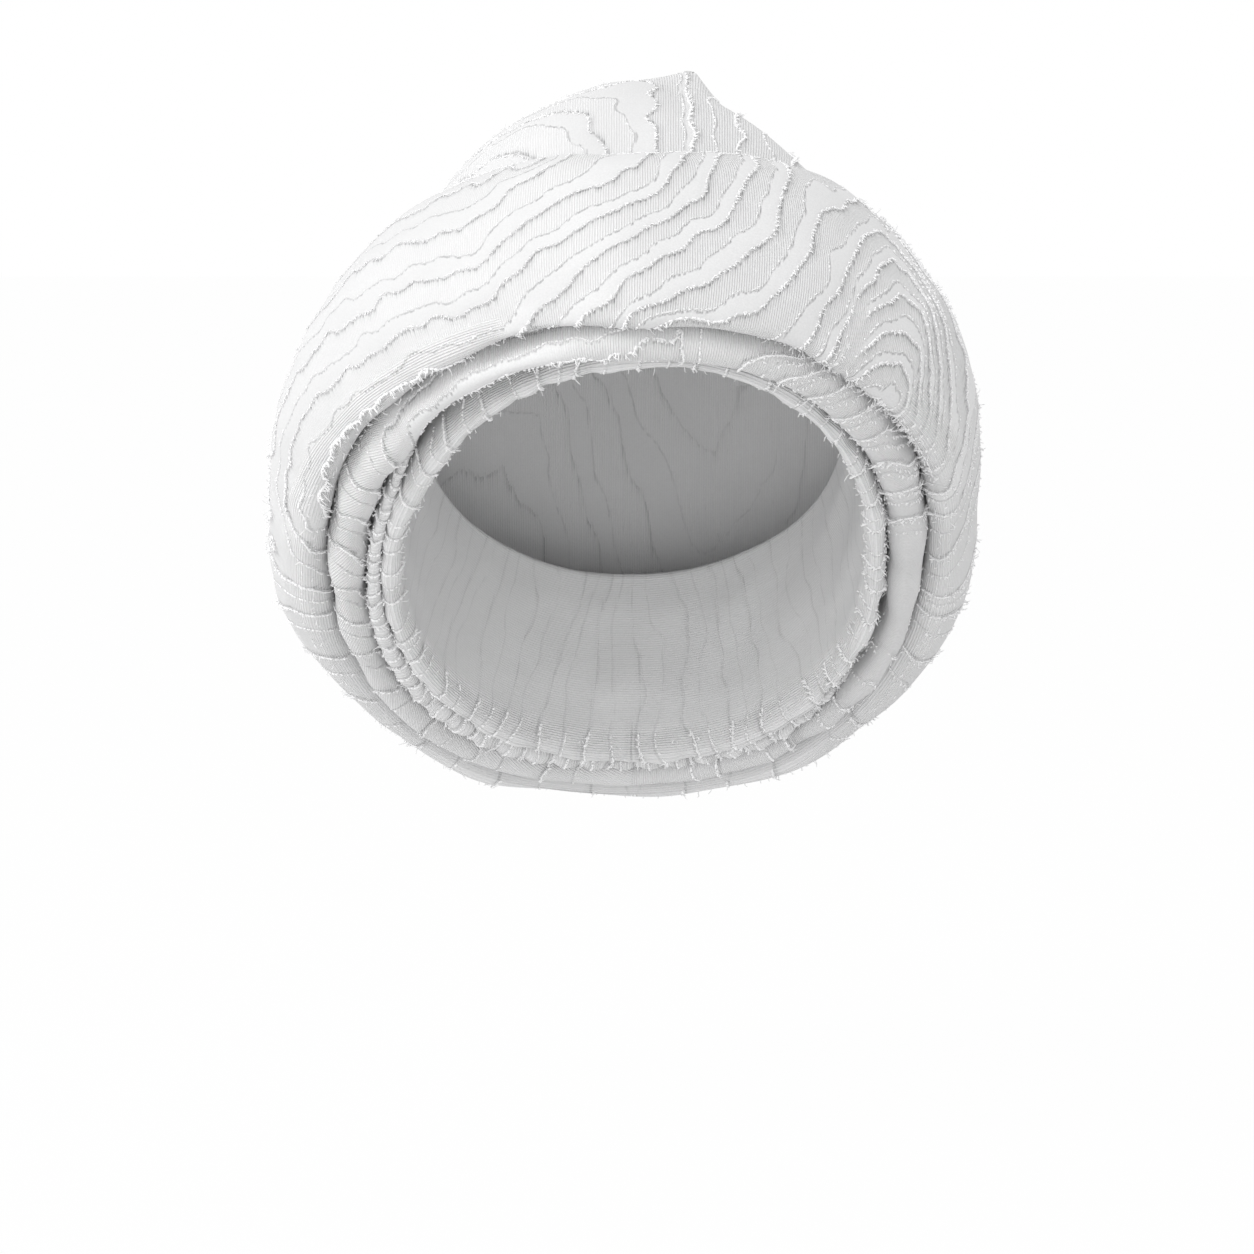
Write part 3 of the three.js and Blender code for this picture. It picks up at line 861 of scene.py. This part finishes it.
# The outer cuff
CUFF_FOLD_ROW = 9
CUFF_RUN_ROW = 55
cuff_turns = np.linspace(-180, 180, 641)
cuff_shares = np.concatenate([np.linspace(0, 0.15, 7)[:-1], np.linspace(0.15, 1, 104)])
cuff_grid = cuff_sections(cuff_turns, cuff_shares)
cuff_run = loop_distance(cuff_grid, CUFF_RUN_ROW)
cuff_up = seen_height(cuff_grid, CUFF_FOLD_ROW)
cuff_limit = np.interp(cuff_run, CUFF_TURN_AWAY["run"], CUFF_TURN_AWAY["up"])
cuff_beyond = np.maximum(cuff_up - cuff_limit, 0)
cuff_low_left = stretch(205, 235, 310, 350, -cuff_run)
cuff_level = level_run(cuff_run, cuff_grid, CUFF_FOLD_ROW, cuff_low_left, limit=25)
cuff_lines = strip_lines(cuff_level, cuff_up - 0.7 * cuff_beyond, CUFF_LINES, CUFF_START)
cuff_lines -= 0.9 * mound(cuff_run, cuff_up, at=(13, 2), size=(13, 5))
cuff_lines += 0.9 * mound(cuff_run, cuff_up, at=(-36, 59), size=(9, 5))
cuff_waver = between(0.05, 0.025, step(180, 220, np.abs(cuff_run)))
cuff_lines += 0.06 * ripple(cuff_grid, 45, 3) + cuff_waver * ripple(cuff_grid, 13, 4)
cuff_shown = step(0.1, 0.17, cuff_shares)[None] + 0 * cuff_run
cuff_left = stretch(-195, -180, -50, -42, cuff_run)
cuff_fray = np.maximum.reduce([
    1 - step(2, 9, cuff_up),
    0.9 * step(150, 195, np.abs(cuff_run)),
    between(0.35, 1.0, step(20, 40, cuff_up)) * step(85, 110, cuff_run),
    0.9 * mound(cuff_run, cuff_up, at=(84, 12), size=(10, 16)),
    0.28 * step(-20, 50, cuff_run),
])
cuff_fray += 0.4 * cuff_left * (1 - step(5, 8, cuff_up))
cuff_turned = (1 - step(9, 11, cuff_up)) * cuff_left
cuff_low = np.maximum(step(185, 205, -cuff_run), step(160, 180, cuff_run)) * (1 - step(60, 90, cuff_up))
cuff_panel = stretch(104, 116, 150, 165, cuff_run) * (1 - step(12, 18, cuff_up))
cuff_turned = np.maximum.reduce([cuff_turned, cuff_low, cuff_panel])
# Where the cuff's pattern is faint on its left, its cloth is also coloured darker: painted shade against
# the key light.
cuff_faint = (1 - step(-90, 20, cuff_run)) * step(9, 14, cuff_up)
cuff_calm = np.maximum.reduce([
    0.7 * stretch(112, 122, 150, 165, cuff_run) * (1 - step(7, 11, cuff_up)),
    np.exp(-(((cuff_run - 79) / 4.5) ** 4) - ((cuff_up - 11) / 15) ** 4),
    0.18 * cuff_faint,
])
cuff_bulge = 0.7 * ripple(cuff_grid, 60, 5) + 0.25 * ripple(cuff_grid, 22, 6)
cuff_bulge *= cuff_shown * (1 - step(0.93, 1.0, cuff_shares))[None]
cuff_marks = {
    "contour": cuff_lines,
    "rib": cuff_run,
    "rise": section_height(cuff_grid, CUFF_FOLD_ROW),
    "turned": cuff_turned,
    "smooth": 1 - cuff_turned,
    "calm": cuff_calm,
    "fray": cuff_fray,
    "plain": np.maximum(1 - cuff_shown, 0.6 * cuff_faint),
}
cuff_cloth = cuff_grid + grid_normals(cuff_grid) * cuff_bulge[..., None]
cuff_plan = {"seed": 11, "rows": 0.8 * stretch(140, 170, 300, 340, cuff_run)}
cuff_lip = stretch(92, 100, 150, 165, cuff_run[:, 0])
cuff_edges = [
    Edge(CUFF_FOLD_ROW, spacing=4.5),
    Edge(CUFF_FOLD_ROW + 3, spacing=6),
    Edge(-1, spacing=1.3, cord=0.24),
    Edge(CUFF_FOLD_ROW + 1, spacing=1.1, cord=0.3, share=cuff_lip),
    Edge(CUFF_FOLD_ROW + 1, spacing=1.3, share=cuff_lip),
]
cuff, cuff_yarn = dress(
    "wrap_cuff", "outer_cuff", cuff_cloth, cuff_marks, cuff_shown,
    relief=0.28, lining=26, threads=cuff_plan, edges=cuff_edges,
)

# The crown: its lines lie round a hump on the left, by distances over a drum across the head.
DRUM_Y = 35
DRUM_Z = 60
DRUM_RADIUS = 110
DRUM_BACK = 154
HUMP_ACROSS = -40
HUMP_OVER = 84
crown_turns = np.linspace(-180, 180, 521)
crown_hem = np.linspace(0, 1, 9)
crown_rows = np.linspace(0, 1, 76)
crown_grid = crown_sections(crown_turns, crown_hem, crown_rows)
crown_row = np.concatenate([crown_hem[:-1] - 1, crown_rows])[None] + 0 * crown_grid[..., 0]
crown_across = crown_grid[..., 0]
crown_angle = np.arctan2(crown_grid[..., 2] - DRUM_Z, DRUM_Y - crown_grid[..., 1])
crown_over = DRUM_RADIUS * np.where(crown_angle < -math.pi / 2, crown_angle + 2 * math.pi, crown_angle)
crown_behind = np.maximum(crown_over - DRUM_BACK, 0)
crown_squeeze = between(0.9, 0.15, step(-15 - 0.3 * crown_behind, 12 + 0.3 * crown_behind, crown_across))
crown_lift = crown_over - HUMP_OVER - 0.5 * crown_behind + 0.9 * np.minimum(crown_across + 30, 0)
crown_out = np.hypot(np.maximum(crown_across - HUMP_ACROSS, 0), crown_squeeze * crown_lift) + HUMP_ACROSS
crown_lines = np.interp(crown_out, CROWN_LINES["across"], CROWN_LINES["level"])
crown_lines += 0.06 * ripple(crown_grid, 50, 21) + 0.05 * ripple(crown_grid, 13, 22)
crown_shown = step(-0.25, 0.0, crown_row)
crown_bulge = 0.7 * ripple(crown_grid, 50, 23) * stretch(0.02, 0.2, 0.7, 0.95, crown_row)
crown_cloth = crown_grid + grid_normals(crown_grid) * crown_bulge[..., None]
crown_slack = 0.9 * (1 + ripple(crown_grid, 38, 24)) * stretch(0.1, 0.35, 0.85, 0.97, crown_row)
# Where the crown's pattern is faint on its left, its cloth is also coloured darker: painted shade against
# the key light.
crown_faint = 1 - step(-15, 15, crown_across)
crown_marks = {
    "contour": crown_lines,
    "rib": crown_across,
    "fray": 0.2 + 0.7 * step(8, 20, crown_across),
    "smooth": 1 - step(18, 24, crown_across),
    "calm": 0.1 * crown_faint,
    "plain": np.maximum(1 - crown_shown, 0.4 * crown_faint),
}
crown, crown_yarn = dress(
    "wrap_crown", "crown", crown_cloth, crown_marks, crown_shown,
    relief=0.28, lining=30, threads={"seed": 12, "fuzz": 6}, edges=[], slack=crown_slack,
)

# The middle roll
ROLL_FOLD_ROW = 26
roll_turns = np.linspace(-180, 180, 561)
roll_shares = np.concatenate([
    np.linspace(0, 0.2, 5)[:-1],
    np.linspace(0.2, 0.8, 44),
    np.linspace(0.8, 1, 5)[1:],
])
roll_grid = roll_sections(roll_turns, roll_shares)
roll_run = loop_distance(roll_grid, ROLL_FOLD_ROW)
roll_up = section_height(roll_grid, ROLL_FOLD_ROW)
roll_side = stretch(30, 60, 220, 290, np.abs(roll_run))
roll_level = level_run(roll_run, roll_grid, ROLL_FOLD_ROW, roll_side, limit=100)
roll_lines = strip_lines(roll_level, roll_up, ROLL_LINES, ROLL_START)
roll_lines += 0.06 * ripple(roll_grid, 40, 31) + 0.05 * ripple(roll_grid, 12, 32)
roll_shown = stretch(0.1, 0.25, 0.75, 0.9, roll_shares)[None] + 0 * roll_run
roll_cloth = roll_grid + grid_normals(roll_grid) * (0.5 * ripple(roll_grid, 30, 33) * roll_shown)[..., None]
roll_left = 1 - step(-105, -85, roll_run)
roll_fray = between(0.35, 0.9, step(-75, -30, roll_run)) + 0.4 * step(36, 50, roll_run)
roll_marks = {
    "contour": roll_lines,
    "rib": roll_run,
    "rise": roll_up + 0.4 * roll_run,
    "turned": roll_left,
    "smooth": (1 - roll_left) * (1 - step(-30, -15, roll_run)),
    "calm": stretch(150, 162, 222, 235, roll_run),
    "fray": roll_fray,
}
roll_plan = {"seed": 13, "rows": stretch(36, 50, 250, 300, roll_run)}
roll_cord = stretch(190, 200, 300, 320, roll_run[:, 0])
roll_edges = [
    Edge(ROLL_FOLD_ROW - 12, spacing=5),
    Edge(ROLL_FOLD_ROW + 12, spacing=5),
    Edge(ROLL_FOLD_ROW + 7, spacing=1.0, cord=0.38, share=roll_cord),
]
roll, roll_yarn = dress(
    "wrap_roll", "middle_roll", roll_cloth, roll_marks, roll_shown,
    relief=0.22, lining=16, threads=roll_plan, edges=roll_edges,
)

# The inner band
BAND_RUN_ROW = 36
BAND_RIM_ROW = 40
band_turns = np.linspace(-180, 180, 481)
band_shares = np.linspace(0, 1, 60)
band_grid = band_sections(band_turns, band_shares)
band_run = loop_distance(band_grid, BAND_RUN_ROW)
band_up = section_height(band_grid, BAND_RIM_ROW)
band_lines = strip_lines(band_run, band_up, BAND_LINES, BAND_START)
band_lines += 0.15 * ripple(band_grid, 35, 41) + 0.04 * ripple(band_grid, 12, 42)
band_shown = stretch(0.64, 0.72, 0.85, 0.95, band_shares)[None] + 0 * band_run
band_pucker = 0.35 * ripple(band_grid, 25, 43) + 0.3 * ripple(band_grid, 9, 44)
band_wall = stretch(0.05, 0.2, 0.5, 0.64, band_shares)[None] + 0 * band_run
band_wave = 0.4 * (1 + ripple(band_grid, 30, 45)) * band_wall
band_cloth = band_grid + grid_normals(band_grid) * (band_pucker * band_shown + band_wave)[..., None]
band_even = np.ones_like(band_run)
band_marks = {
    "contour": band_lines,
    "rib": band_run,
    "rise": band_up,
    "turned": band_even,
    "smooth": 0 * band_even,
    "fray": band_even,
    "plain": BACK["plain"] * (1 - band_shown),
    "calm": BACK["calm"] * (1 - band_shown),
}
band_plan = {"seed": 14, "teeth": 1.5, "fuzz": 12}
band_edges = [Edge(BAND_RIM_ROW + 4, spacing=6)]
band, band_yarn = dress(
    "wrap_band", "inner_band", band_cloth, band_marks, band_shown,
    relief=0.2, lining=18, threads=band_plan, edges=band_edges,
)

# The inner tuck
TUCK_FROM = -55
TUCK_TO = -235
TUCK_GATHERS = 30
TUCK_SIDES = 32
TUCK_TOP = 16
TUCK_LOW = 1.4
TUCK_SAG = 2.6
TUCK_END_LIFT = 6
TUCK_END_SHARE = 0.12
TUCK_END_SWELL = 0.35
TUCK_LINE_GAP = 8
TUCK_PUFF = 0.6
TUCK_BARE_ENDS = 8
tuck_shares = np.linspace(0, 1, 417)
tuck_turns = between(TUCK_FROM, TUCK_TO, tuck_shares)
tuck_low = column(BAND, "rim", tuck_turns) + column(BAND, "roll", tuck_turns) + CLOTH / 2 + GAP
tuck_high = column(MIDDLE, "inner", tuck_turns) - CLOTH / 2 - 2 * GAP
tuck_ease = np.minimum(1, np.minimum(tuck_shares, 1 - tuck_shares) / TUCK_END_SHARE)
tuck_swell = between(TUCK_END_SWELL, 1, np.sin(tuck_ease * math.pi / 2))
tuck_half = (tuck_high - tuck_low) / 2 * tuck_swell
tuck_centre = tuck_high - tuck_half
tuck_puff = np.abs(np.sin(tuck_shares * TUCK_GATHERS * math.pi)) ** TUCK_PUFF
tuck_bottom = TUCK_LOW - TUCK_SAG * (tuck_puff - 0.5) * tuck_swell + TUCK_END_LIFT * (1 - tuck_ease)
tuck_rings = []
for angle in np.linspace(0, 2 * math.pi, TUCK_SIDES + 1):
    swing = math.sin(angle)
    tall = np.where(swing >= 0, tuck_half, TUCK_TOP - tuck_bottom - tuck_half)
    level = tuck_bottom + tuck_half - tall * swing
    tuck_rings.append(section_point(tuck_turns, tuck_centre - tuck_half * math.cos(angle), level))
tuck_grid = np.stack(tuck_rings, 1)
tuck_ends = [tuck_grid[[end]].mean(1, keepdims=True) + 0 * tuck_grid[[end]] for end in (0, -1)]
tuck_lines = (tuck_shares * TUCK_GATHERS)[:, None] + 0.05 * ripple(tuck_grid, 9, 52)
tuck_normals = grid_normals(tuck_grid)
tuck_shape = np.concatenate([tuck_ends[0], tuck_grid, tuck_ends[1]])
tuck_place = np.concatenate([tuck_lines[:1], tuck_lines, tuck_lines[-1:]])
tuck_marks = {"contour": tuck_place, "rib": TUCK_LINE_GAP * tuck_place, "fray": 0.9 + 0 * tuck_place}
tuck_marks.update({key: 0 * tuck_place for key in ("rise", "turned", "plain", "smooth", "calm")})
tuck_marks["gap"] = TUCK_LINE_GAP + 0 * tuck_place
tuck = new_object("wrap_tuck", mapped_grid(tuck_shape), CLOTH_FINISH, tuck_marks)
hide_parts("inner_tuck")
tuck_sign = np.sign(((tuck_grid - tuck_grid.mean(1, keepdims=True)) * tuck_normals).sum(-1).mean())
tuck_low_side = np.zeros(tuck_lines.shape, bool)
tuck_low_side[TUCK_BARE_ENDS:-TUCK_BARE_ENDS, 1:TUCK_SIDES // 2 + 1] = True
tuck_steps = line_steps(tuck_grid, tuck_sign * tuck_normals, tuck_lines, tuck_low_side)
tuck_even = np.ones_like(tuck_lines)
tuck_threads = line_threads(tuck_steps, 1.2 * tuck_even, tuck_even, 15, teeth=0.7, floats=0.8)
yarns("wrap_tuck_threads", tuck_threads, YARN)


# The stage
FLOOR_LEVEL = -0.21
FLOOR_REACH = 6
FLOOR_GREY = 0.8
FLOOR_GLOW = 0.97
ROOM_LIGHT = 1.04
ROOM_FALL = 0.3
floor_maker = bmesh.new()
bmesh.ops.create_grid(floor_maker, x_segments=8, y_segments=8, size=FLOOR_REACH)
bmesh.ops.translate(floor_maker, verts=floor_maker.verts, vec=(0, 0, FLOOR_LEVEL))
floor_mesh = bpy.data.meshes.new("floor")
floor_maker.to_mesh(floor_mesh)
floor_maker.free()
floor = put_in_scene("floor", floor_mesh)
floor_settings = {"Base Color": (FLOOR_GREY, FLOOR_GREY, FLOOR_GREY, 1), "Roughness": 0.9}
floor_paint, floor_tree, floor_shader = new_finish("pale_floor", floor_settings)
floor_seen = put(floor_tree, "ShaderNodeLightPath").outputs["Is Camera Ray"]
floor_glow = put(floor_tree, "ShaderNodeEmission")
floor_mix = put(floor_tree, "ShaderNodeMixShader", i0=times(floor_tree, floor_seen, FLOOR_GLOW))
floor_tree.links.new(floor_shader.outputs[0], floor_mix.inputs[1])
floor_tree.links.new(floor_glow.outputs[0], floor_mix.inputs[2])
floor_tree.links.new(floor_mix.outputs[0], floor_tree.nodes["Material Output"].inputs["Surface"])
floor_mesh.materials.append(floor_paint)

world = bpy.data.worlds.new("studio")
bpy.context.scene.world = world
world.use_nodes = True
world_tree = world.node_tree
world_seen = put(world_tree, "ShaderNodeLightPath").outputs["Is Camera Ray"]
world_inputs = world_tree.nodes["Background"].inputs
world_inputs["Color"].default_value = (1, 1, 1, 1)
world_way = put(world_tree, "ShaderNodeTexCoord").outputs["Generated"]
world_up = put(world_tree, "ShaderNodeSeparateXYZ", Vector=world_way).outputs["Z"]
world_up = sum_up(world_tree, "MAXIMUM", world_up, 0.0)
world_room = scale_add(world_tree, world_up, -ROOM_FALL * ROOM_LIGHT, ROOM_LIGHT)
world_strength = blend(world_tree, world_seen, world_room, 1.0)
world_tree.links.new(world_strength, world_inputs["Strength"])
bpy.context.scene.view_settings.view_transform = "Standard"


def soft_light(name, place, target, size, power):
    """A round lamp at a place, turned to its target."""
    lamp = bpy.data.lights.new(name, "AREA")
    lamp.shape = "DISK"
    lamp.size = size
    lamp.energy = power
    stand = put_in_scene(name, lamp)
    stand.location = place
    stand.rotation_euler = (Vector(target) - Vector(place)).to_track_quat("-Z", "Y").to_euler()


soft_light("key", place=(-1.0, -1.2, 1.55), target=(0, 0, 0.05), size=1.0, power=16)
soft_light("left_fill", place=(-2.4, -0.3, -0.1), target=(0, 0, 0), size=1.8, power=19)

CAMERA_PLACE = Vector((-0.002, -1.8, 0.186))
CAMERA_TARGET = Vector((-0.002, 0, -0.021))
CAMERA_LENS = 157.6
CAMERA_SENSOR = 36
camera_data = bpy.data.cameras.new("camera")
camera_data.lens = CAMERA_LENS
camera_data.sensor_width = CAMERA_SENSOR
camera = put_in_scene("camera", camera_data)
camera.location = CAMERA_PLACE
camera.rotation_euler = (CAMERA_TARGET - CAMERA_PLACE).to_track_quat("-Z", "Y").to_euler()
bpy.context.scene.camera = camera
